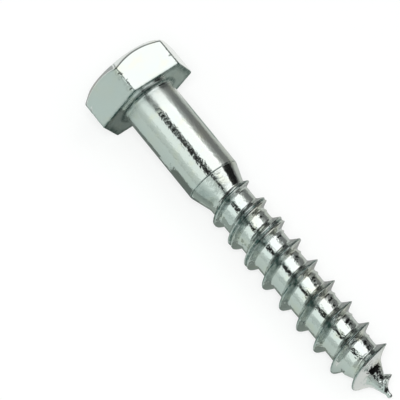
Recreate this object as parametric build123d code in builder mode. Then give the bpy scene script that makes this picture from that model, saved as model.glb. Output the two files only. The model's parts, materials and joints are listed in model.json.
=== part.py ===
"""Lag screw: hex head, plain shank, coarse wood thread and a gimlet point, cold-headed and rolled from one wire.

The screw is drawn standing on its axis, head down and point up, with the bearing face under the head at zero.
The last step lays it on its side, the way it comes to rest: on one flat of the head and one crest of the thread.
"""
import os
from math import asin, atan2, ceil, cos, degrees, exp, floor, hypot, pi, radians, sin, tan

from build123d import *

# Head
across_flats = 16.6
wrench_height = 5.1
chamfer_angle = 37.0
chamfer_width = 2.0
crown_height = 0.3
corner_rounding = 0.6
bearing_edge_rounding = 0.2

# Shank and neck
length = 64.7
shank_diameter = 9.6
plain_length = 17.8
neck_length = 3.7
under_head_fillet = 0.7

# Thread
thread_diameter = 10.0
core_diameter = 7.06
pitch = 4.5
flank_angle = 31.0
crest_width = 0.18
root_rise = 0.32
root_flare = 0.42
flare_beyond_foot = 0.2
helix_lead = 0.18

# Where the thread begins: the rolls have not yet filled the crest, so it is low and blunt
emerge_share = 0.62
emerge_turns = 0.15
run_in_turns = 3.3
run_in_crest_drop = 0.6
blunt_width = 0.95
bluntness_lag = 1.5

# Point
point_half_angle = 25.8
tip_diameter = 0.92
tip_length = 1.1
tip_chamfer = 0.25
point_flank_angle = 24.0
point_flare = 1.0
point_crest_power = 1.7
point_change_turns = 1.0
point_thread_margin = 0.5

# Drawing the ridge: how far its ends and its feet reach into the blank, how closely its sections stand,
# and where the blank's own seam runs, clear of the sections where lengths of thread meet
end_depth = 0.05
foot_depth = 0.3
root_depth = 0.5
sections_per_turn = 12
seam_angle = 100

shank_radius = shank_diameter / 2
core_radius = core_diameter / 2
crest_radius = thread_diameter / 2
tip_radius = tip_diameter / 2
corner_radius = across_flats / 2 / cos(radians(30))
crown_radius = corner_radius - chamfer_width
crown_sphere = (crown_radius**2 + crown_height**2) / 2 / crown_height
head_height = wrench_height + chamfer_width * tan(radians(chamfer_angle)) + crown_height
thread_height = crest_radius - core_radius
neck_end = plain_length + neck_length
tip_start = length - tip_length
point_start = tip_start - (core_radius - tip_radius) / tan(radians(point_half_angle))

# Along the helix everything is counted in turns, from where its crest would pass over the middle of the top flat
helix_start = plain_length - helix_lead
run_in_start = (plain_length + emerge_share * neck_length - helix_start) / pitch
full_thread_start = ceil(run_in_start + run_in_turns)
point_thread_start = floor((point_start - helix_start) / pitch - 0.5)
point_thread_end = (tip_start - point_thread_margin - helix_start) / pitch


def body_radius(z):
    """Radius of the blank, without the thread, at this distance below the head."""
    if z < plain_length:
        return shank_radius
    if z < neck_end:
        return shank_radius + (core_radius - shank_radius) * (z - plain_length) / neck_length
    if z < point_start:
        return core_radius
    if z < tip_start:
        return core_radius + (tip_radius - core_radius) * (z - point_start) / (tip_start - point_start)
    return tip_radius


def helix_height(turns):
    """Where the middle of the crest is after this many turns from the top flat of the head."""
    return helix_start + pitch * turns


def ridge_section(turns, crest, width, front_angle=flank_angle, front_flare=root_flare):
    """Section of the thread ridge in the half-plane through the axis, its feet sunk just into the blank."""
    middle = helix_height(turns)
    height = max(crest - body_radius(middle), end_depth)
    share = height / thread_height
    root = crest - height + root_rise * share
    back_top = middle - width / 2
    front_top = middle + width / 2
    back_root = back_top - (crest - root) * tan(radians(flank_angle))
    front_root = front_top + (crest - root) * tan(radians(front_angle))
    back_foot = back_root - root_flare * (share + flare_beyond_foot)
    front_foot = front_root + front_flare * (share + flare_beyond_foot)
    back_skin = body_radius(back_foot)
    front_skin = body_radius(front_foot)
    back_end = (back_skin - foot_depth * back_skin / core_radius, back_foot)
    front_end = (front_skin - foot_depth * front_skin / core_radius, front_foot)
    turned = radians(360 * turns)
    half_plane = Plane((0, 0, 0), x_dir=(cos(turned), sin(turned), 0), z_dir=(sin(turned), -cos(turned), 0))
    with BuildSketch(half_plane) as section:
        with BuildLine():
            Line((back_skin * root_depth, back_foot), back_end)
            Line(back_end, (root, back_root))
            Line((root, back_root), (crest, back_top))
            Line((crest, back_top), (crest, front_top))
            Line((crest, front_top), (root, front_root))
            Line((root, front_root), front_end)
            Line(front_end, (front_skin * root_depth, front_foot))
            Line((front_skin * root_depth, front_foot), (back_skin * root_depth, back_foot))
        make_face()
    return section.sketch.face()


def run_in_section(turns):
    """The ridge rises out of the neck, stays low and blunt for a while, and fills out to its full form."""
    progress = (turns - run_in_start) / (full_thread_start - run_in_start)
    emerged = 1 - exp(-(turns - run_in_start) / emerge_turns)
    low_crest = crest_radius - run_in_crest_drop * (1 - progress)
    buried_crest = body_radius(helix_height(run_in_start)) - end_depth
    crest = buried_crest + (low_crest - buried_crest) * emerged
    bluntness = sin(pi * progress**bluntness_lag)
    return ridge_section(turns, crest, crest_width + (blunt_width - crest_width) * bluntness)


def point_section(turns):
    """The ridge follows the cone of the point down towards the tip, its front flank getting steeper."""
    taper = max(0.0, (helix_height(turns) - point_start) / (helix_height(point_thread_end) - point_start))
    buried_crest = body_radius(helix_height(point_thread_end)) - end_depth
    crest = crest_radius - (crest_radius - buried_crest) * taper**point_crest_power
    change = min(1.0, (turns - point_thread_start) / point_change_turns)
    front_angle = flank_angle + (point_flank_angle - flank_angle) * change
    front_flare = root_flare + (point_flare - root_flare) * change
    return ridge_section(turns, crest, crest_width, front_angle, front_flare)


def section_at(turns):
    """The form that the ridge has after this many turns."""
    if turns < full_thread_start:
        return run_in_section(turns)
    if turns > point_thread_start:
        return point_section(turns)
    return ridge_section(turns, crest_radius, crest_width)


def stations(first, last):
    """Turns at which the ridge is drawn, evenly spread from first to last."""
    steps = round((last - first) * sections_per_turn)
    return [first + (last - first) * step / steps for step in range(steps + 1)]


def helix(first, last):
    """The path of the ridge from one turn to another."""
    with BuildLine() as path:
        Helix(pitch, pitch * (last - first), core_radius, (0, 0, helix_height(first)))
    return path.line.rotate(Axis.Z, 360 * first)


# The head: a hexagon with its corners eased, cut by a chamfer cone and a shallow dome
with BuildPart() as head:
    with BuildSketch(Plane.XY.offset(-head_height)):
        RegularPolygon(across_flats / 2, 6, major_radius=False, rotation=30)
        fillet(vertices(), corner_rounding)
    extrude(amount=head_height)
    fillet(edges().group_by(Axis.Z)[-1], bearing_edge_rounding)
    with BuildSketch(Plane.XZ):
        with BuildLine():
            Line((0, 0), (corner_radius, 0))
            Line((corner_radius, 0), (corner_radius, -wrench_height))
            Line((corner_radius, -wrench_height), (crown_radius, crown_height - head_height))
            RadiusArc((crown_radius, crown_height - head_height), (0, -head_height), crown_sphere)
            Line((0, -head_height), (0, 0))
        make_face()
    revolve(axis=Axis.Z, mode=Mode.INTERSECT)

# The blank below the head: plain shank, neck, core of the thread and the cone of the point with its small nub
with BuildPart() as blank:
    with BuildSketch(Plane.XZ.rotated((0, 0, seam_angle))):
        with BuildLine():
            Line((0, 0), (shank_radius + under_head_fillet, 0))
            Bezier((shank_radius + under_head_fillet, 0), (shank_radius, 0), (shank_radius, under_head_fillet))
            Polyline(
                (shank_radius, under_head_fillet),
                (shank_radius, plain_length),
                (core_radius, neck_end),
                (core_radius, point_start),
                (tip_radius, tip_start),
            )
            Polyline(
                (tip_radius, tip_start),
                (tip_radius, length - tip_chamfer),
                (tip_radius - tip_chamfer, length),
                (0, length),
                (0, 0),
            )
        make_face()
    revolve(axis=Axis.Z)

# The thread: lengths of ridge that meet on shared sections, short ones where the form changes
point_lengths = ceil(point_thread_end - point_thread_start)
point_breaks = [
    point_thread_start + (point_thread_end - point_thread_start) * step / point_lengths
    for step in range(1, point_lengths + 1)
]
breaks = [run_in_start, run_in_start + 1, full_thread_start, point_thread_start, *point_breaks]
ridge_lengths = []
for first, last in zip(breaks, breaks[1:]):
    with BuildPart() as ridge:
        sections = [section_at(turns) for turns in stations(first, last)]
        sweep(sections, helix(first, last), multisection=True, is_frenet=True)
    ridge_lengths.append(ridge.part)

with BuildPart() as upright_screw:
    add(blank.part)
    add(head.part)
    for ridge_part in ridge_lengths:
        add(ridge_part)

# On its side: the lower edge of the bottom flat and the last full crest that faces down touch the floor
resting_crest = helix_height(point_thread_start + 0.5)
reach = resting_crest + bearing_edge_rounding
rise = across_flats / 2 - crest_radius - bearing_edge_rounding
rest_tilt = atan2(rise, reach) + asin(bearing_edge_rounding / hypot(reach, rise))
lying = Plane((0, 0, 0), x_dir=(sin(rest_tilt), 0, cos(rest_tilt)), z_dir=(cos(rest_tilt), 0, -sin(rest_tilt)))
with BuildPart(lying) as lag_screw:
    add(upright_screw.part)

lag_screw.part.label = "lag_screw"
os.makedirs("parts", exist_ok=True)
export_step(lag_screw.part, "parts/lag_screw.step")
print("rest tilt, degrees:", round(degrees(rest_tilt), 3))
print("solids:", len(lag_screw.solids()), "faces:", len(lag_screw.faces()), "volume:", round(lag_screw.part.volume, 1))
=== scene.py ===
# %% [markdown]
# # A zinc-plated lag screw
# A lag screw is one piece of steel wire. Its hexagon head is upset in a cold header, its coarse thread is
# rolled between dies, and the whole is plated with bright zinc. The solid that comes with the frame is right
# in size, but it is cut into flat facets, and a mirror shows every facet. So the skin is drawn again here,
# finely, from the same few sizes, and it stands for that solid.

# %% Load the frame
import json
from math import atan, cos, degrees, pi, radians, sin, tan

import bpy
import numpy as np
from mathutils import Matrix, Vector, noise


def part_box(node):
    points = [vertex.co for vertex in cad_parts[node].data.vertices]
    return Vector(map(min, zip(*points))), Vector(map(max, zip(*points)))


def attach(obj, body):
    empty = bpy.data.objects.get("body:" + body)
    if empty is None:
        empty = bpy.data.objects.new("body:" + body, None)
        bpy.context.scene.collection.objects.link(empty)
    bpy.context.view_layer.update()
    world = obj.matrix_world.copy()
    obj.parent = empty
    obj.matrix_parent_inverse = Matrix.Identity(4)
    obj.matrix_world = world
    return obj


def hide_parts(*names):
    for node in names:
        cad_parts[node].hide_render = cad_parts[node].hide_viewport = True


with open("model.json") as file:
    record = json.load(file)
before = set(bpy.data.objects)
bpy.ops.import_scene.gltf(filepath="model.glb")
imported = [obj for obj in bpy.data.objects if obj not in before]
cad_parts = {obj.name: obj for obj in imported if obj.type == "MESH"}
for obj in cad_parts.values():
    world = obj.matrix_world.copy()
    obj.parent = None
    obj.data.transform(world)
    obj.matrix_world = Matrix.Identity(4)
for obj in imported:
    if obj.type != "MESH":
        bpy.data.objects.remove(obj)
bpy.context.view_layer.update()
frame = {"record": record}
low_corner, high_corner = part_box("lag_screw")
print("solid from", low_corner, "to", high_corner)

# %% [markdown]
# ## The screw's own frame
# Round things are easiest to draw around their own axis. The bearing face, the flat ring under the head, is
# where the screw's length is measured from, and the frame's record says where it is and which way it faces.
# Every point of the skin is given by three numbers: how far along the axis, how far from it, and how far it
# is turned from the middle of the top flat.

# %% From the screw's frame to the row's
MM = 0.001
bearing_face = next(m for m in frame["record"]["mounts"] if m["name"] == "bearing_face")
origin = np.array(bearing_face["pos_m"])
along_axis = np.array(bearing_face["axis"])
along_axis = along_axis / np.linalg.norm(along_axis)
upward = np.array([0.0, 0.0, 1.0]) - along_axis[2] * along_axis
upward = upward / np.linalg.norm(upward)
sideways = np.cross(along_axis, upward)


def to_row(along, radius, turned):
    """Points in the row's frame, in metres, from millimetres along and around the axis."""
    return (
        origin
        + MM * np.multiply.outer(along, along_axis)
        + MM * np.multiply.outer(radius * np.cos(turned), upward)
        + MM * np.multiply.outer(radius * np.sin(turned), sideways)
    )


print("axis dips by", round(-degrees(atan(along_axis[2] / along_axis[0])), 2), "degrees")

# %% [markdown]
# ## The sizes
# These are the sizes that a drawing of the screw would give, in millimetres. The screw has an M10 thread and
# shank, and a head for a 17 mm spanner, a little under size as forged heads are.

# %% Sizes in millimetres
across_flats = 16.6
wrench_height = 5.1
chamfer_slope = tan(radians(37))
crown_radius = 7.585
crown_height = 0.3
corner_rounding = 0.6
under_head_fillet = 0.7
length = 64.7
shank_radius = 4.8
plain_length = 17.8
neck_end = 21.5
core_radius = 3.53
crest_radius = 5.0
pitch = 4.5
helix_start = 17.62
point_start = 56.9
point_waist = (59.7, 2.1)
tip_start = 63.6
tip_radius = 0.46
corner_radius = across_flats / 2 / cos(radians(30))
head_height = wrench_height + (corner_radius - crown_radius) * chamfer_slope + crown_height
print("head height", round(head_height, 2))

# %% [markdown]
# Many things on the screw are strongest at one place and fade on both sides of it. One curve serves them all.


# %% A bell curve
def bell(value, middle, width):
    """1 at the middle, and about a third at this width to either side of it."""
    return np.exp(-(((value - middle) / width) ** 2))


print("bell at 0, 1 and 2 widths:", bell(np.arange(3), 0, 1).round(2))

# %% [markdown]
# ## The head
# Each column of the mesh runs from the middle of the crown, over the chamfer and down a side to the
# bearing face. The columns are crowded together at the six corners, where the surface turns fastest.

# %% Columns around the head and around the round parts
columns = 180
per_side = columns // 6
crowding = 2.2
half_side = radians(30)
spread = np.arange(per_side) / (per_side / 2) - 1
within_side = half_side * (1 + np.sign(spread) * np.abs(spread) ** crowding)
head_turned = np.concatenate([2 * half_side * side + within_side for side in range(6)])
round_turned = 2 * pi * np.arange(columns) / columns


def from_corner_at(turned):
    """Angle from the nearest upright edge of the head."""
    return np.mod(turned, 2 * half_side) - half_side


def hexagon_radius(turned):
    """How far the side of the head is from the axis, with its corners eased."""
    from_corner = from_corner_at(turned)
    flat = across_flats / 2 / np.cos(half_side - np.abs(from_corner))
    centre = (across_flats / 2 - corner_rounding) / cos(half_side)
    reach = corner_rounding**2 - (centre * np.sin(from_corner)) ** 2
    arc = centre * np.cos(from_corner) + np.sqrt(np.maximum(reach, 0))
    touch = atan(corner_rounding * sin(half_side) / (centre + corner_rounding * cos(half_side)))
    return np.where(np.abs(from_corner) < touch, arc, flat)


side_radius = hexagon_radius(head_turned)
print(columns, "columns; side from", side_radius.min().round(2), "to", side_radius.max().round(2))

# %% [markdown]
# An edge that was forged and tumbled is never sharp. Each corner of the outline is replaced by a short curve
# between two points at the same distance from it, which catches the light as the real edge does.


# %% Ease a corner of an outline
def bent(start, corner, end, share):
    """A point of the curve from start to end, drawn towards a corner between them."""
    return (1 - share) ** 2 * start + 2 * share * (1 - share) * corner + share**2 * end


def eased(before, corner, after, size, steps):
    """A curve that cuts a corner, starting and ending at this distance from it."""
    start = corner + size * (before - corner) / np.linalg.norm(before - corner, axis=-1, keepdims=True)
    end = corner + size * (after - corner) / np.linalg.norm(after - corner, axis=-1, keepdims=True)
    return [bent(start, corner, end, share) for share in np.linspace(0, 1, steps + 1)]


def outline_point(radius, along):
    """A point of the outline for each column, as radius and distance along the axis."""
    return np.stack(np.broadcast_arrays(radius, along), axis=-1).astype(float)


# %% Corners of the head's outline, column by column
full = np.ones(columns)
chamfer_top = -(wrench_height + (corner_radius - side_radius) * chamfer_slope)
crown_middle = outline_point(0 * full, -head_height)
crown_rim = outline_point(crown_radius * full, crown_height - head_height)
side_top = outline_point(side_radius, chamfer_top)
side_foot = outline_point(side_radius, 0)
fillet_start = outline_point((shank_radius + under_head_fillet) * full, 0)
fillet_corner = outline_point(shank_radius * full, 0)
fillet_end = outline_point(shank_radius * full, under_head_fillet)
print("chamfer meets the sides from", chamfer_top.max().round(2), "to", chamfer_top.min().round(2))

# %% Rows of the head, from the crown to the shank
dome_shares = (0.12, 0.3, 0.5, 0.7, 0.85, 0.93)
crown_easing, side_easing, foot_easing = 0.25, 0.28, 0.26
side_rows = 36
side_margin = (0, 0.35)
ring_shares = (0.15, 0.5, 0.85)
fillet_steps = 7

rows = []
for share in dome_shares:
    dome = crown_height * share**2
    rows.append((head_turned, outline_point(crown_radius * share * full, dome - head_height)))
rows += [(head_turned, p) for p in eased(crown_middle, crown_rim, side_top, crown_easing, 4)]
rows += [(head_turned, p) for p in eased(crown_rim, side_top, side_foot, side_easing, 6)]
upper, lower = side_top + side_margin, side_foot - side_margin
for share in np.linspace(0, 1, side_rows + 2)[1:-1]:
    rows.append((head_turned, upper + share * (lower - upper)))
rows += [(head_turned, p) for p in eased(side_top, side_foot, fillet_start, foot_easing, 6)]
for share in ring_shares:
    between = side_foot + share * (fillet_start - side_foot)
    rows.append(((1 - share) * head_turned + share * round_turned, between))
for share in np.linspace(0, 1, fillet_steps + 1):
    rows.append((round_turned, bent(fillet_start, fillet_corner, fillet_end, share)))
print(len(rows), "rows from the crown to the shank")

# %% [markdown]
# Screws are tumbled together in barrels and shipped loose, so the upright edges of the head carry small
# nicks.

# %% Nicks in the upright edges
nick_depth = 0.2
nick_width = 0.45
nicks_along, nicks_across = 2.3, 1.5
clear_of_crown = 0.4


def nicked(turned, outline):
    """The outline, with hollows where the noise is high and an upright edge is near."""
    radius, along = outline.T
    across = nicks_across * radius
    places = np.stack([nicks_along * along, across * np.cos(turned), across * np.sin(turned)], axis=-1)
    hollows = np.maximum([noise.noise(place) for place in places.tolist()], 0)
    near_edge = bell(from_corner_at(turned) * radius, 0, nick_width)
    near_edge = near_edge * (radius > crown_radius + clear_of_crown)
    return np.stack([radius - nick_depth * hollows * near_edge, along], axis=-1)


smooth_rows = rows
rows = [(turned, nicked(turned, outline)) for turned, outline in smooth_rows]
deepest = max((smooth[1] - rough[1]).max() for smooth, rough in zip(smooth_rows, rows))
print("deepest nick", deepest.round(3), "mm")

# %% [markdown]
# ## The shank
# The shank is plain, and ends in a fine ring where the rolling dies began to squeeze the wire. Past it the
# neck tapers down to the core of the thread.

# %% Rows along the plain shank
ring_depth = 0.09
ring_profile = ((-0.30, 0), (-0.17, 0), (-0.12, 0.15), (-0.05, 1), (0.01, 1), (0.07, 0.5))
for along in np.arange(2.0, 17.5, 1.2):
    rows.append((round_turned, outline_point(shank_radius * full, along)))
for offset, share in ring_profile:
    radius = shank_radius - ring_depth * share
    rows.append((round_turned, outline_point(radius * full, plain_length + offset)))
print(len(rows), "rows from the crown to the ring")

# %% [markdown]
# ## The thread
# A rolled thread is a ridge wound round the core. Its section is written as a height over the core that
# depends on two numbers: how many turns along the helix, and how far ahead of or behind the crest. A smooth
# maximum joins the ridge to the core with the fillet that the rolling dies leave.


# %% The core, the helix and smooth joins
def smooth_max(a, b, blend):
    """The larger of two heights, with a fillet where they are within the blend of each other."""
    return np.maximum(a, b) + np.maximum(blend - np.abs(a - b), 0) ** 2 / (4 * blend)


def smooth_min(a, b, blend):
    """The smaller of two heights, eased in the same way."""
    return -smooth_max(-a, -b, blend)


def blank_radius(along):
    """Radius of neck, core and point without the ridge."""
    stations = (plain_length, neck_end, point_start, point_waist[0], tip_start)
    radii = (shank_radius, core_radius, core_radius, point_waist[1], tip_radius)
    return np.interp(along, stations, radii)


def helix_height(turns):
    """Where the crest is along the axis."""
    return helix_start + pitch * turns


print("radius in mid-neck", blank_radius((plain_length + neck_end) / 2).round(2))

# %% [markdown]
# The ridge is not the same all the way. It rises out of the neck low and blunt, because there the dies had
# not yet filled, and its crest is two folded lips with a groove between them. Four turns on it is full and
# sharp. On the point it runs down to nothing but a last burr, and its front flank opens into a hollow curve.

# %% How the ridge changes along the screw
rises_at, full_at = 0.55, 4.0
point_at, fades_at, ends_at = 8.0, 8.78, 10.1
start_depth = 0.5
unfilled_drop = 0.5
rising_turns = 0.12
fading_power = 1.7
burr_height, burr_at, burr_turns = 0.45, 9.8, 0.1


def filled(turns):
    """How far the dies have filled, from 0 where the ridge rises to 1."""
    return np.clip((turns - rises_at) / (full_at - rises_at), 0, 1)


def crest_height(turns):
    """How far the crest is from the axis after this many turns."""
    buried = blank_radius(helix_height(rises_at)) - start_depth
    low = crest_radius - unfilled_drop * (1 - filled(turns))
    risen = buried + (low - buried) * (1 - np.exp(-np.maximum(turns - rises_at, 0) / rising_turns))
    taper = np.clip((turns - fades_at) / (ends_at - fades_at), 0, None)
    burr = burr_height * bell(turns, burr_at, burr_turns)
    return risen - (crest_radius - tip_radius) * taper**fading_power + burr


print("crest at turns 1, 4 and 9:", crest_height(np.array([1, 4, 9])).round(2))

# %% Where the crest stands
mismatch_shift, mismatch_side = 0.22, 0.283
start_shift, start_side, start_turns = 0.42, 0.78, 0.35


def crest_shift(turns):
    """How far the crest stands ahead of a true helix: at its start, and where the dies were out of match."""
    mismatch = np.maximum(np.cos(2 * pi * (turns - mismatch_side)), 0) ** 2
    return mismatch_shift * mismatch + start_shift * np.exp(-np.abs(turns - start_side) / start_turns)


print("crest ahead by at most", crest_shift(np.linspace(1, 8, 200)).max().round(2), "mm")

# %% The ridge's section
sharp_width, blunt_width, bluntness_power = 0.16, 0.85, 1.5
back_angle, front_angle, front_angle_change = 31, 27, -5
groove_depth, groove_from_half, groove_over = 0.22, 0.2, 0.25
crest_blend, top_blend = 0.25, 0.12


def ridge_radius(turns, offset):
    """The ridge's own section, this far ahead of its crest (towards the point) or behind it."""
    crest = crest_height(turns)
    half = (sharp_width + blunt_width * np.sin(pi * filled(turns) ** bluntness_power)) / 2
    steeper = np.radians(front_angle + front_angle_change * np.clip(turns - point_at, 0, 1))
    behind = crest + (offset + half) / tan(radians(back_angle))
    ahead = crest - (offset - half) / np.tan(steeper)
    hollow = np.cos(pi / 2 * np.clip(offset / half, -1, 1)) ** 2
    groove = groove_depth * np.clip((half - groove_from_half) / groove_over, 0, 1) * hollow
    return smooth_min(smooth_min(behind, ahead, crest_blend), crest - groove, top_blend)


print("groove at turn 2:", (crest_height(2.0) - ridge_radius(2.0, 0.0)).round(2), "mm deep")

# %% [markdown]
# Steel that was pressed or rolled is nowhere quite even. Noise gives shallow hollows all over the thread,
# finer ones on its flanks, and deeper ones near the tip, where the dies crush what is left of the ridge.


# %% Unevenness
def uneven(along, radius, turned, grain, depth):
    """Shallow hollows of about this grain and depth, in millimetres, at each of these points."""
    places = np.stack([along, radius * np.cos(turned), radius * np.sin(turned)], axis=-1) / grain
    hollows = [noise.noise(place) for place in places.reshape(-1, 3).tolist()]
    return depth * np.maximum(np.reshape(hollows, along.shape), 0)


# %% Rows along the helix
turn_start, turn_end = -1, 11
foot = 1.3
anchors = (-pitch / 2, -foot, -foot * 0.55, -0.5, -0.08, 0.0, 0.08, 0.5, foot * 0.55, foot, pitch / 2)
anchor_rows = (0, 3, 8, 12, 16, 17, 18, 22, 26, 31, 34)
rows_per_turn = anchor_rows[-1]
offsets = np.interp(np.arange(rows_per_turn), anchor_rows, anchors)

row_count = (turn_end - turn_start) * rows_per_turn
turn_of_row = turn_start + np.arange(row_count) // rows_per_turn
turns = turn_of_row[:, None] + (round_turned / (2 * pi))[None, :]
offset = np.tile(offsets, turn_end - turn_start)[:, None] + 0 * turns
along = helix_height(turns) + offset
from_crest = offset - crest_shift(turns)
print(row_count, "rows along the helix,", rows_per_turn, "to a turn")

# %% Radius of every point along the helix
lip_height, lip_offset, lip_width, lip_side = 0.22, 1.6, 0.18, 0.30
lip_start, lip_end, lip_fade = 1.0, 8.2, 0.5
back_blend, front_blend, point_blend = 0.3, 0.25, 1.3
flank_reach, flank_start, flank_end = 0.9, 0.6, 7.8
crushed_from, crushed_over = 57.5, 2.0

lip_share = np.maximum(-np.cos(2 * pi * (turns - lip_side)), 0) ** 2 * bell(offset, lip_offset, lip_width)
lip_share = lip_share * np.clip((lip_end - turns) / lip_fade, 0, 1) * np.clip(turns - lip_start, 0, 1)
ridge_blend = np.where(offset > 0, front_blend + point_blend * np.clip(turns - point_at, 0, 1), back_blend)
helix_radius = smooth_max(ridge_radius(turns, from_crest), blank_radius(along), ridge_blend)
helix_radius = helix_radius + lip_height * lip_share

everywhere = 1
flanks = bell(from_crest, 0, flank_reach) * (turns > flank_start) * (turns < flank_end)
near_tip = np.clip((along - crushed_from) / crushed_over, 0, 1) * np.clip(tip_start - along, 0, 1)
for share, grain, depth in ((everywhere, 1.1, 0.03), (flanks, 0.45, 0.05), (near_tip, 0.55, 0.16)):
    helix_radius = helix_radius - share * uneven(along, helix_radius, 2 * pi * turns, grain, depth)
print("thread reaches", helix_radius.max().round(3), "mm from the axis")

# %% [markdown]
# ## Painted shade
# Shade and dark reflections are painted into the plating, which is also made rougher there: a dark line along
# the crest, the flanks beside it, a dark streak across the upper side of each ridge, small dark blobs where
# the ridge meets the core, the ring at the end of the shank, the corner under the head and the head's edges,
# and a patch on the neck.
# Each point of the skin gets a number that says how much, for the shader. Every part of the painted shade is
# a strength times a bell around its place, in millimetres or degrees.


# %% Places on the helix and around the axis
def nearest_turn(along, turned):
    """Turns along the helix to the crest that is nearest."""
    part_turn = turned / (2 * pi)
    return part_turn + np.round((along - helix_height(part_turn)) / pitch)


def from_top_at(turned):
    """Angle from the middle of the top flat, in degrees, from -90 to 270."""
    return np.degrees(np.mod(turned + pi / 2, 2 * pi)) - 90


print("the crest at mid-thread is turn", nearest_turn((neck_end + point_start) / 2, 0.0))

# %% Painted shade on the thread
painted_shade_from, painted_shade_to = rises_at + 0.1, 7.6
ragged_turns = 0.4
least_height = 0.3
reach_into_neck = 1.0


def thread_painted_shade(along, radius, turned):
    """Painted shade along the crest, on its flanks, in a streak across its upper side, and in blobs at the
    ridge's feet.
    """
    turns = nearest_turn(along, turned)
    from_crest = along - helix_height(turns) - crest_shift(turns)
    from_top = from_top_at(turned)
    risen = (turns > painted_shade_from) & (radius > blank_radius(along) + least_height)
    on_ridge = risen & (turns < ends_at - ragged_turns)
    on_core = (turns > painted_shade_from) & (turns < painted_shade_to) & (along > neck_end - reach_into_neck)
    # These darken the crest line, the flanks, a streak on the upper side and the ridge's feet: painted shade
    # and painted dark reflections.
    crest_shade = 0.95 * bell(from_crest, -0.08, 0.17)
    back_flank = 0.35 * bell(from_crest, -0.7, 0.35)
    front_flank = (0.08 + 0.5 * bell(from_top, 42, 28)) * bell(from_crest, 0.5, 0.4)
    dark_streak = 0.85 * bell(from_top, 28, 9) * bell(from_crest, -0.1, 0.75)
    feet = bell(from_crest, 1.0, 0.3) + bell(from_crest, -1.05, 0.3)
    dark_blobs = 0.75 * bell(from_top, 22, 6) * feet
    return on_ridge * (crest_shade + back_flank + (turns < painted_shade_to) * (front_flank + dark_streak)) + on_core * dark_blobs


print("grime on the third crest:", thread_painted_shade(helix_height(3.0), crest_radius, 0.0).round(2))

# %% Painted shade on the head, the shank and the neck
side_distance = across_flats / 2


def smooth_painted_shade(along, radius, turned):
    """Painted shade in the shank's ring and the corner under the head, on the head's lower rim, underside and
    upright edges, and a painted dark patch on the neck.
    """
    # Shade painted in the ring, in the corner under the head and on the head's edges, and a dark reflection
    # painted on the neck.
    ring = bell(along, plain_length - 0.02, 0.07)
    under_head = 0.7 * bell(along, 0.1, 0.4) * (radius < shank_radius + 1.0)
    lower_rim = 0.85 * bell(along, -0.04, 0.16) * (radius > side_distance - 0.5)
    underside = 0.2 * (np.abs(along) < 0.1) * (radius < side_distance)
    upright_edge = 0.35 * bell(from_corner_at(turned) * radius, 0, 0.16) * (radius > crown_radius + 0.5)
    on_neck = (along > plain_length) * (along < neck_end)
    neck_dark_patch = 0.38 * bell(from_top_at(turned), 68, 16) * on_neck
    return ring + under_head + lower_rim + underside + upright_edge + neck_dark_patch


def painted_shade_at(along, radius, turned):
    """How much shade is painted at each point, from 0, none, to 1, dark."""
    return np.clip(thread_painted_shade(along, radius, turned) + smooth_painted_shade(along, radius, turned), 0, 1)


print("grime in the corner under the head:", painted_shade_at(0.1, shank_radius + 0.3, 0.0).round(2))

# %% [markdown]
# A yellow sheen is painted ahead of each ridge on the upper side, where the highlights fall. The grain of the
# metal
# changes along the screw too: tools pressed the head's flats and the neck smooth, and the rolls squeezed the
# steel into shallow waves between the ridges. Where a tool ended, the skin is a little hazy.

# %% Painted yellow sheen, grain, waves and haze along the screw
grain_stations = (
    (-0.5, 0.12), (0.6, 0.3), (2.5, 0.35), (4.5, 0.72), (17.6, 0.72),
    (17.9, 0.5), (21.3, 0.5), (22.0, 1.35), (57.0, 1.35), (60.0, 1.5),
)
wave_stations = ((-0.5, 0.15), (0.6, 0.2), (2.5, 0.2), (4.5, 0.37), (21.3, 0.3), (22.0, 0.85))
haze_stations = (
    (0.3, 0), (0.8, 0.17), (2.5, 0.15), (4.5, 0.02), (17.9, 0.02),
    (18.1, 0.04), (21.3, 0.04), (21.5, 0), (62.3, 0), (63.2, 0.15),
)


def by_station(along, stations):
    """A strength that runs evenly between stations, each a distance along the axis and a strength."""
    places, strengths = zip(*stations)
    return np.interp(along, places, strengths)


def yellow_sheen_at(along, turned):
    """Painted yellow sheen, from 0 to 1, ahead of each ridge on the upper side, where the highlights fall."""
    turns = nearest_turn(along, turned)
    from_crest = along - helix_height(turns)
    return bell(from_top_at(turned), -8, 22) * bell(from_crest, 0.6, 0.45) * (turns > 1) * (turns < 8)


print("grain on the head, shank, neck and thread:", by_station([-3, 10, 20, 40], grain_stations))

# %% [markdown]
# ## Skinning
# Round parts are closed rings of points. The helical rows end nowhere: after one turn each row runs on as
# the row one pitch further along. Where they pass the shank's last ring, or the tip's first, they stop on it.


# %% A skin of points and faces
class Skin:
    """Points and faces of the screw, gathered ring by ring."""

    def __init__(self):
        self.places, self.faces, self.count = [], [], 0

    def add_points(self, along, radius, turned):
        """Adds points, as places along, out from and around the axis, and gives their numbers."""
        places = np.stack(np.broadcast_arrays(along, radius, turned), axis=-1).astype(float)
        self.places.append(places.reshape(-1, 3))
        numbers = self.count + np.arange(places.size // 3)
        self.count += places.size // 3
        return numbers.reshape(places.shape[:-1])

    def add_quads(self, a, b, c, d):
        """Adds a face for each four numbers, leaving out corners that fall together."""
        for face in zip(a.ravel().tolist(), b.ravel().tolist(), c.ravel().tolist(), d.ravel().tolist()):
            corners = list(dict.fromkeys(face))
            if len(corners) > 2:
                self.faces.append(corners)

    def join_rings(self, first, second):
        """A band of faces between two closed rings."""
        self.add_quads(first, np.roll(first, -1), np.roll(second, -1), second)


# %% Skin the head and the shank
skin = Skin()
crown = skin.add_points(np.array([-head_height]), np.array([0.0]), np.array([0.0]))
last_ring = np.repeat(crown, columns)
for turned, outline in rows:
    ring = skin.add_points(outline[:, 1], outline[:, 0], turned)
    skin.join_rings(last_ring, ring)
    last_ring = ring
print(len(skin.faces), "faces on the head and the shank")

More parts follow.
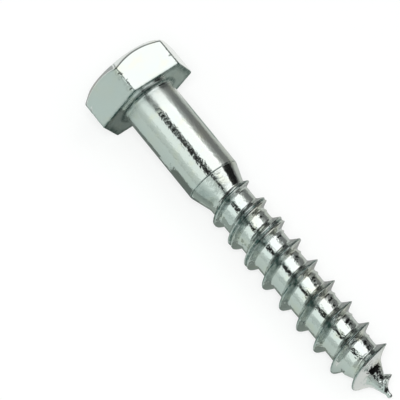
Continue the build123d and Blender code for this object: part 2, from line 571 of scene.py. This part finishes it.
# %% Skin the thread
start_along = plain_length + 0.1
start_ring = skin.add_points(start_along * full, blank_radius(start_along) * full, round_turned)
skin.join_rings(last_ring, start_ring)
end_ring = skin.add_points(tip_start * full, tip_radius * full, round_turned)

helix_numbers = skin.add_points(along, helix_radius, round_turned[None, :] + 0 * turns)
helix_numbers = np.where(along <= start_along, start_ring[None, :], helix_numbers)
helix_numbers = np.where(along >= tip_start, end_ring[None, :], helix_numbers)
beyond = np.full((rows_per_turn, columns), end_ring[0])
after_last = np.concatenate([helix_numbers[rows_per_turn:, 0], beyond[:, 0]])
next_column = np.concatenate([helix_numbers[:, 1:], after_last[:, None]], axis=1)
skin.add_quads(helix_numbers[:-1], next_column[:-1], next_column[1:], helix_numbers[1:])
print(len(skin.faces), "faces with the thread")

# %% Close the tip
nub = ((63.8, 0.4), (64.0, 0.41), (64.2, 0.45), (64.4, 0.43), (64.55, 0.34), (64.66, 0.17))
last_ring = end_ring
for nub_along, nub_radius in nub:
    ring = skin.add_points(nub_along * full, nub_radius * full, round_turned)
    skin.join_rings(last_ring, ring)
    last_ring = ring
tip = skin.add_points(np.array([length]), np.array([0.0]), np.array([0.0]))
skin.join_rings(last_ring, np.repeat(tip, columns))
print(len(skin.faces), "faces in all")


# %% The mesh, with its numbers for the shader
def placed(name, data):
    """A new object in the scene."""
    thing = bpy.data.objects.new(name, data)
    bpy.context.scene.collection.objects.link(thing)
    return thing


mesh = bpy.data.meshes.new("plated_screw")
all_along, all_radius, all_turned = np.concatenate(skin.places).T
mesh.from_pydata(to_row(all_along, all_radius, all_turned).tolist(), [], skin.faces)
skin_numbers = {
    "painted_shade": painted_shade_at(all_along, all_radius, all_turned),
    "yellow_sheen": yellow_sheen_at(all_along, all_turned),
    "grain": by_station(all_along, grain_stations),
    "waves": by_station(all_along, wave_stations),
    "haze": by_station(all_along, haze_stations),
}
for name, numbers in skin_numbers.items():
    mesh.attributes.new(name, "FLOAT", "POINT").data.foreach_set("value", numbers.astype(np.float32))
screw = placed("plated_screw", mesh)
print("shader numbers:", ", ".join(skin_numbers))

# %% Clean up and smooth the skin
bpy.context.view_layer.objects.active = screw
screw.select_set(True)
bpy.ops.object.mode_set(mode="EDIT")
bpy.ops.mesh.select_all(action="SELECT")
bpy.ops.mesh.delete_loose()
bpy.ops.mesh.select_all(action="SELECT")
bpy.ops.mesh.normals_make_consistent(inside=False)
bpy.ops.object.mode_set(mode="OBJECT")
bpy.ops.object.shade_smooth()
print("skin has", len(mesh.polygons), "faces and", len(mesh.vertices), "points")

# %% [markdown]
# ## Writing shaders as sums
# A shader is a graph of nodes. To keep its maths readable, a small class wraps a socket, and its operators
# add the Math nodes. Any other node comes from one method.


# %% A socket that can be added and multiplied
class Value:
    """The output of a node, which sums and products turn into Math nodes."""

    def __init__(self, graph, socket):
        self.graph, self.socket = graph, socket

    def __add__(self, other):
        return self.graph.maths("ADD", self, other)

    def __mul__(self, other):
        return self.graph.maths("MULTIPLY", self, other)

    __radd__ = __add__
    __rmul__ = __mul__


class Graph:
    """The nodes of one material or world."""

    def __init__(self, owner):
        owner.use_nodes = True
        self.tree = owner.node_tree
        self.tree.nodes.clear()

    def node(self, kind, sockets=None, output=0, **settings):
        """Adds a node: its settings first, then the values or links of its sockets."""
        made = self.tree.nodes.new(kind)
        stops = settings.pop("stops", None)
        for name, value in settings.items():
            setattr(made, name, value)
        for number, (position, colour) in enumerate(stops or []):
            ramp = made.color_ramp.elements
            stop = ramp[number] if number < 2 else ramp.new(position)
            stop.position, stop.color = position, colour
        for name, value in (sockets or {}).items():
            if isinstance(value, Value):
                self.tree.links.new(value.socket, made.inputs[name])
            else:
                made.inputs[name].default_value = value
        return Value(self, made.outputs[output]) if made.outputs else made

    def maths(self, operation, first, second):
        """A Math node on two values."""
        return self.node("ShaderNodeMath", {0: first, 1: second}, operation=operation)

    def mixed(self, share, first, second):
        """One colour turning into another."""
        sockets = {0: share, 6: first, 7: second}
        return self.node("ShaderNodeMix", sockets, output=2, data_type="RGBA")


# %% [markdown]
# ## Bright zinc
# The plating is a thin mirror over rolled steel. It has a faint blue-green cast with a breath of yellow
# where the chromate is thicker, and a fine orange peel that breaks up the edges of what it reflects.

# %% Numbers and noises of the plating
zinc = bpy.data.materials.new("bright_zinc_plating")
graph = Graph(zinc)
painted_shade, yellow_sheen, grain, wave_height, haze = (
    graph.node("ShaderNodeAttribute", output="Fac", attribute_name=name)
    for name in ("painted_shade", "yellow_sheen", "grain", "waves", "haze")
)
place = graph.node("ShaderNodeTexCoord", output="Object")
noise_grains = (
    (190.0, 3.0),  # clouds
    (420.0, 2.0),  # patches
    (4200.0, 0.0),  # fine grain
    (1500.0, 1.0),  # orange peel
    (650.0, 1.0),  # waves
)
clouds, patches, fine, peel, waves = (
    graph.node("ShaderNodeTexNoise", {"Vector": place, "Scale": scale, "Detail": detail})
    for scale, detail in noise_grains
)
print(len(graph.tree.nodes), "nodes to mix from")

# %% Colour of the plating
plain = (0.755, 0.768, 0.752, 1)
bluish = (0.735, 0.768, 0.765, 1)
yellowish = (0.78, 0.775, 0.66, 1)
dark = (0.088, 0.15, 0.14, 1)
tinted = graph.node("ShaderNodeValToRGB", {"Fac": clouds}, stops=[(0.38, bluish), (0.62, plain)])
# The yellow comes in random patches, the plating's own tone, and is painted stronger ahead of each ridge on
# the upper side as a yellow sheen.
yellow_range = {"Value": patches + 0.3 * yellow_sheen, "From Min": 0.55, "From Max": 0.75}
yellow_share = graph.node("ShaderNodeMapRange", yellow_range)
coloured = graph.mixed(yellow_share * 0.6, tinted, yellowish)
# Painted shade: the colour turns to dark teal where shade and dark reflections are painted.
colour = graph.mixed(painted_shade * (0.1 + 1.6 * peel), coloured, dark)
print(len(graph.tree.nodes), "nodes with the colour")

# %% Relief and finish of the plating
relief_depth = 4e-5
roughness = 0.06 + 0.07 * patches + 0.22 * painted_shade + haze
height = grain * (0.35 * fine + 1.1 * peel) + wave_height * waves
relief = graph.node("ShaderNodeBump", {"Height": height, "Strength": 1.0, "Distance": relief_depth})
sockets = {"Base Color": colour, "Metallic": 1.0, "Roughness": roughness, "Normal": relief}
surface = graph.node("ShaderNodeBsdfPrincipled", sockets)
graph.node("ShaderNodeOutputMaterial", {"Surface": surface})
mesh.materials.append(zinc)

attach(screw, "root")
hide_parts("lag_screw")
print(len(graph.tree.nodes), "nodes in all")

# %% [markdown]
# ## The floor
# A pale floor, level with the lowest point of the screw. Its own grey keeps the soft shadow, and most of what
# the camera sees of it, far from the screw all of it, is lifted to white. In the screw it mirrors darker, and
# darkest towards the back.


# %% Floor
def oblong(x_from, x_to, y_from, y_to):
    """The four corners of an oblong."""
    return [(x_from, y_from), (x_to, y_from), (x_to, y_to), (x_from, y_to)]


half_floor = 2.5
floor_mesh = bpy.data.meshes.new("floor")
floor_corners = oblong(-half_floor, half_floor, -half_floor, half_floor)
floor_mesh.from_pydata([(x, y, low_corner.z) for x, y in floor_corners], [], [(0, 1, 2, 3)])
floor = placed("floor", floor_mesh)
print("floor at", round(low_corner.z, 5))

# %% Finish of the floor
seen_grey = (0.95, 0.95, 0.95, 1)
floor_tones = [
    (0.48, (0.50, 0.56, 0.535, 1)), (0.52, (0.54, 0.545, 0.525, 1)),
    (0.57, (0.52, 0.53, 0.50, 1)), (0.75, (0.28, 0.285, 0.27, 1)),
]
near, far, least_lift = 0.08, 0.4, 0.72

paper = bpy.data.materials.new("pale_floor")
graph = Graph(paper)
seen = graph.node("ShaderNodeLightPath", output="Is Camera Ray")
place = graph.node("ShaderNodeTexCoord", output="Object")
towards_back = graph.node("ShaderNodeSeparateXYZ", {0: place}, output="Y")
mirrored = graph.node("ShaderNodeValToRGB", {"Fac": towards_back * 2.0 + 0.5}, stops=floor_tones)
matt = graph.node("ShaderNodeBsdfDiffuse", {"Color": graph.mixed(seen, mirrored, seen_grey)})
white = graph.node("ShaderNodeEmission", {"Color": (1, 1, 1, 1), "Strength": 1.0})
distance = graph.node("ShaderNodeVectorMath", {0: place}, output="Value", operation="LENGTH")
lift_range = {"Value": distance, "From Min": near, "From Max": far, "To Min": least_lift}
lift = graph.node("ShaderNodeMapRange", lift_range)
lifted = graph.node("ShaderNodeMixShader", {0: seen * lift, 1: matt, 2: white})
graph.node("ShaderNodeOutputMaterial", {"Surface": lifted})
floor_mesh.materials.append(paper)
print(len(graph.tree.nodes), "nodes in the floor")

# %% [markdown]
# ## Light
# A mirror shows the room, so the room is the light. It is bright above the screw, with a green cast in front,
# and falls off towards the horizon at the back and past both ends of the screw. Overhead hangs a long soft
# box, and in front of it a second, fainter one. A third lamp lights the floor only.

# %% World
front_tint, back_tint, no_tint = (0.865, 1.0, 0.93), (0.955, 1.0, 0.955), (1, 1, 1)
across_levels = (
    (-1.0, 0.58), (-0.97, 0.60), (-0.93, 0.70), (-0.8, 0.80), (0.45, 0.78), (0.62, 0.92),
    (0.745, 0.45), (0.84, 0.28), (0.91, 0.20), (1.0, 0.22),
)
along_levels = ((-1.0, 0.12), (-0.7, 0.15), (-0.5, 0.25), (-0.36, 1.0), (0.42, 1.0), (0.55, 0.62), (1.0, 0.5))

world = bpy.data.worlds.new("studio")
bpy.context.scene.world = world
graph = Graph(world)
direction = graph.node("ShaderNodeTexCoord", output="Generated")


def room_ramp(axis, levels, tint_below, tint_above):
    """Brightness of the room along one of its directions, with a tint on either side of the screw."""
    stops = []
    for place, level in levels:
        tint = tint_below if place < 0 else tint_above
        stops.append(((place + 1) / 2, (*(level * part for part in tint), 1)))
    coordinate = graph.node("ShaderNodeSeparateXYZ", {0: direction}, output=axis)
    return graph.node("ShaderNodeValToRGB", {"Fac": coordinate * 0.5 + 0.5}, stops=stops)


across_ramp = room_ramp("Y", across_levels, front_tint, back_tint)
along_ramp = room_ramp("X", along_levels, no_tint, no_tint)
room = graph.node("ShaderNodeVectorMath", {0: across_ramp, 1: along_ramp}, operation="MULTIPLY")
seen = graph.node("ShaderNodeLightPath", output="Is Camera Ray")
shown = graph.mixed(seen, room, (1, 1, 1, 1))
backdrop = graph.node("ShaderNodeBackground", {"Color": shown, "Strength": 1.0})
graph.node("ShaderNodeOutputWorld", {"Surface": backdrop})
print(len(graph.tree.nodes), "nodes in the world")

# %% Facing the screw
screw_middle = Vector((0.028, 0, 0))
along_row = Vector((1, 0, 0))


def direction_around(turned, lean):
    """A direction from the screw's axis, turned from straight up, and leaning towards the point."""
    square = Vector((0, -sin(radians(turned)), cos(radians(turned))))
    return (square + lean * along_row).normalized()


def face_the_screw(thing, turned, distance, lean=0.0):
    """Hangs a lamp or a card at this angle around the screw, facing it, its own x along the screw."""
    towards = direction_around(turned, lean)
    across = towards.cross(along_row).normalized()
    thing.location = screw_middle + towards * distance
    thing.rotation_euler = Matrix((across.cross(towards), across, towards)).transposed().to_euler()


print("a lamp turned by 45 degrees hangs towards", [round(part, 2) for part in direction_around(45, 0)])


# %% Soft boxes
def soft_box(name, size_along, size_across, radiance):
    """A rectangular lamp, which adds this radiance to what stands behind it."""
    lamp = bpy.data.lights.new(name, "AREA")
    lamp.shape = "RECTANGLE"
    lamp.size, lamp.size_y = size_along, size_across
    lamp.energy = 4 * radiance * size_across * size_along
    return placed(name, lamp)


overhead_box = soft_box("overhead_box", size_along=0.42, size_across=0.38, radiance=0.43)
face_the_screw(overhead_box, turned=-16, distance=0.45, lean=0.04)
front_box = soft_box("front_box", size_along=0.50, size_across=0.34, radiance=0.18)
face_the_screw(front_box, turned=48, distance=0.55)
floor_key = soft_box("floor_key", size_along=0.25, size_across=0.25, radiance=13.0)
face_the_screw(floor_key, turned=24.4, distance=0.75, lean=0.23)
floor_key.visible_glossy = False
for thing in (overhead_box, front_box, floor_key):
    print(thing.name, "at", [round(part, 2) for part in thing.location])

# %% [markdown]
# ## Cards
# In a studio, cards shape what bright metal shows. Here they are seen by mirrors only. A dark strip hangs
# between the two boxes, with a gap over the head, a black flag low at the back, and a white reflector past
# the point.


# %% Cards
no_cast, green_cast = (0.98, 1.0, 0.97), (0.85, 1.0, 0.90)


def card(name, level, outline, cast=no_cast):
    """A flat card of this brightness, outline in metres and colour cast, which only mirrors see."""
    finish = bpy.data.materials.new(name)
    graph = Graph(finish)
    glow = graph.node("ShaderNodeEmission", {"Color": (*(level * part for part in cast), 1)})
    graph.node("ShaderNodeOutputMaterial", {"Surface": glow})
    sheet = bpy.data.meshes.new(name)
    sheet.from_pydata([(x, y, 0) for x, y in outline], [], [list(range(len(outline)))])
    sheet.materials.append(finish)
    thing = placed(name, sheet)
    thing.visible_camera = False
    thing.visible_diffuse = False
    thing.visible_shadow = False
    return thing


def centred(size_along, size_across):
    """The outline of an oblong card around its own middle."""
    return oblong(-size_along / 2, size_along / 2, -size_across / 2, size_across / 2)


# %% Cards round the screw
strip_turned, strip_distance, strip_level = 18.5, 0.40, 0.015
strip = [
    (-0.122, -0.01), (-0.118, -0.08), (-0.085, -0.095), (-0.06, -0.13), (0.0, -0.13), (0.06, -0.03),
    (0.18, -0.03), (0.25, -0.07), (0.7, -0.07), (0.7, 0.075), (0.25, 0.075), (0.18, 0.02),
    (0.06, 0.02), (0.0, 0.015), (-0.065, 0.015), (-0.09, 0.09), (-0.116, 0.09), (-0.122, 0.03),
]
strip_past_head = oblong(-0.7, -0.165, -0.08, 0.08)
face_the_screw(card("dark_strip", strip_level, strip), strip_turned, strip_distance)
face_the_screw(card("dark_strip_past_head", strip_level, strip_past_head), strip_turned, strip_distance)
face_the_screw(card("back_flag", 0.01, centred(0.20, 0.26)), turned=-62, distance=0.35, lean=0.22)
face_the_screw(card("end_reflector", 1.0, centred(0.09, 0.23)), turned=-48, distance=0.35, lean=0.93)
print("strip has", len(strip), "corners")

# %% [markdown]
# On the floor, dark grey-green cards that only mirrors see lie under, beside and behind the screw: a painted
# shadow, which draws the dark lines along its lower edges. White and grey cards past the head, and a small
# upright one behind its crown, give its edges and its underside what they show.

# %% Cards on the floor
floor_height = low_corner.z + 0.0001
# The dark cards under, beside and behind the screw are a painted shadow on the floor, seen only by mirrors.
flat_cards = {
    "shadow_under_head": (0.20, green_cast, oblong(-0.010, 0.007, -0.0088, 0.0065)),
    "shadow_under_shank": (0.17, green_cast, oblong(0.007, 0.019, -0.0060, 0.0065)),
    "shadow_under_thread": (0.26, green_cast, oblong(0.019, 0.056, -0.0055, 0.0065)),
    "shadow_beside_shank": (
        0.18, green_cast, [(0.0085, -0.017), (0.0165, -0.017), (0.0165, -0.006), (0.010, -0.006)],
    ),
    "shadow_beside_neck": (0.38, green_cast, oblong(0.018, 0.027, -0.020, -0.0060)),
    "floor_past_thread": (
        0.78, no_cast, [(0.060, -0.004), (0.095, -0.004), (0.095, 0.012), (0.060, 0.009)],
    ),
    "shadow_behind": (0.38, no_cast, oblong(0.010, 0.056, 0.0065, 0.0115)),
    "shadow_beside_head": (0.37, green_cast, [(0.0, 0.0065), (0.010, 0.0065), (0.008, 0.021), (0.0, 0.021)]),
    "dark_card_past_point": (
        0.2, no_cast, [(0.068, 0.015), (0.100, 0.015), (0.100, 0.04), (0.056, 0.04), (0.052, 0.030)],
    ),
    "white_behind_head": (0.9, no_cast, oblong(-0.015, -0.002, 0.012, 0.024)),
    "white_past_head": (0.95, no_cast, oblong(-0.12, -0.017, -0.06, 0.06)),
}
for name, (level, cast, outline) in flat_cards.items():
    card(name, level, outline, cast).location.z = floor_height
print(len(flat_cards), "cards on the floor")

# %% Grey cards past the head
grey_outline = [(-0.050, -0.040), (-0.0105, -0.040), (-0.0105, 0.0), (-0.033, 0.002), (-0.050, 0.001)]
card("grey_past_head", 0.46, grey_outline).location.z = floor_height + 0.0002
behind_crown = card("grey_behind_crown", 0.52, oblong(-0.008, 0.022, 0.009, 0.026))
behind_crown.location.x = -0.030
behind_crown.rotation_euler = (pi / 2, 0, pi / 2)
print("upright card at", round(behind_crown.location.x, 3))

# %% [markdown]
# The hollow of the point looks past the point's end, low at the back. A small black flag stands there, near
# enough that nothing else on the screw sees it.

# %% Flag past the point
flag_turned, flag_lean, flag_distance = -62, 1.5, 0.020
hollow = Vector((0.0597, 0, -0.0035))
point_flag = card("point_flag", 0.005, centred(0.022, 0.026))
face_the_screw(point_flag, flag_turned, flag_distance, flag_lean)
point_flag.location = hollow + flag_distance * direction_around(flag_turned, flag_lean)
print("flag at", [round(part, 3) for part in point_flag.location])

# %% [markdown]
# ## Camera
# The camera looks steeply down on the screw, from the front and a little from the point's side, with a long
# lens, and it is rolled so that the screw runs from the upper left to the lower right.

# %% Camera
azimuth, elevation, roll = radians(34.84), radians(60.66), radians(18.2)
camera_distance = 0.4957
lens = 268.95
aim = Vector((0.01884, -0.00349, -0.0027))

back = Vector((sin(azimuth) * cos(elevation), -cos(azimuth) * cos(elevation), sin(elevation)))
camera = placed("camera", bpy.data.cameras.new("camera"))
camera.data.lens = lens
camera.data.clip_start = 0.05
camera.location = aim + back * camera_distance
level = back.to_track_quat("Z", "Y")
camera.rotation_euler = (level.to_matrix() @ Matrix.Rotation(roll, 3, "Z")).to_euler()
bpy.context.scene.camera = camera
bpy.context.scene.view_settings.view_transform = "Standard"
print("camera at", [round(part, 3) for part in camera.location])
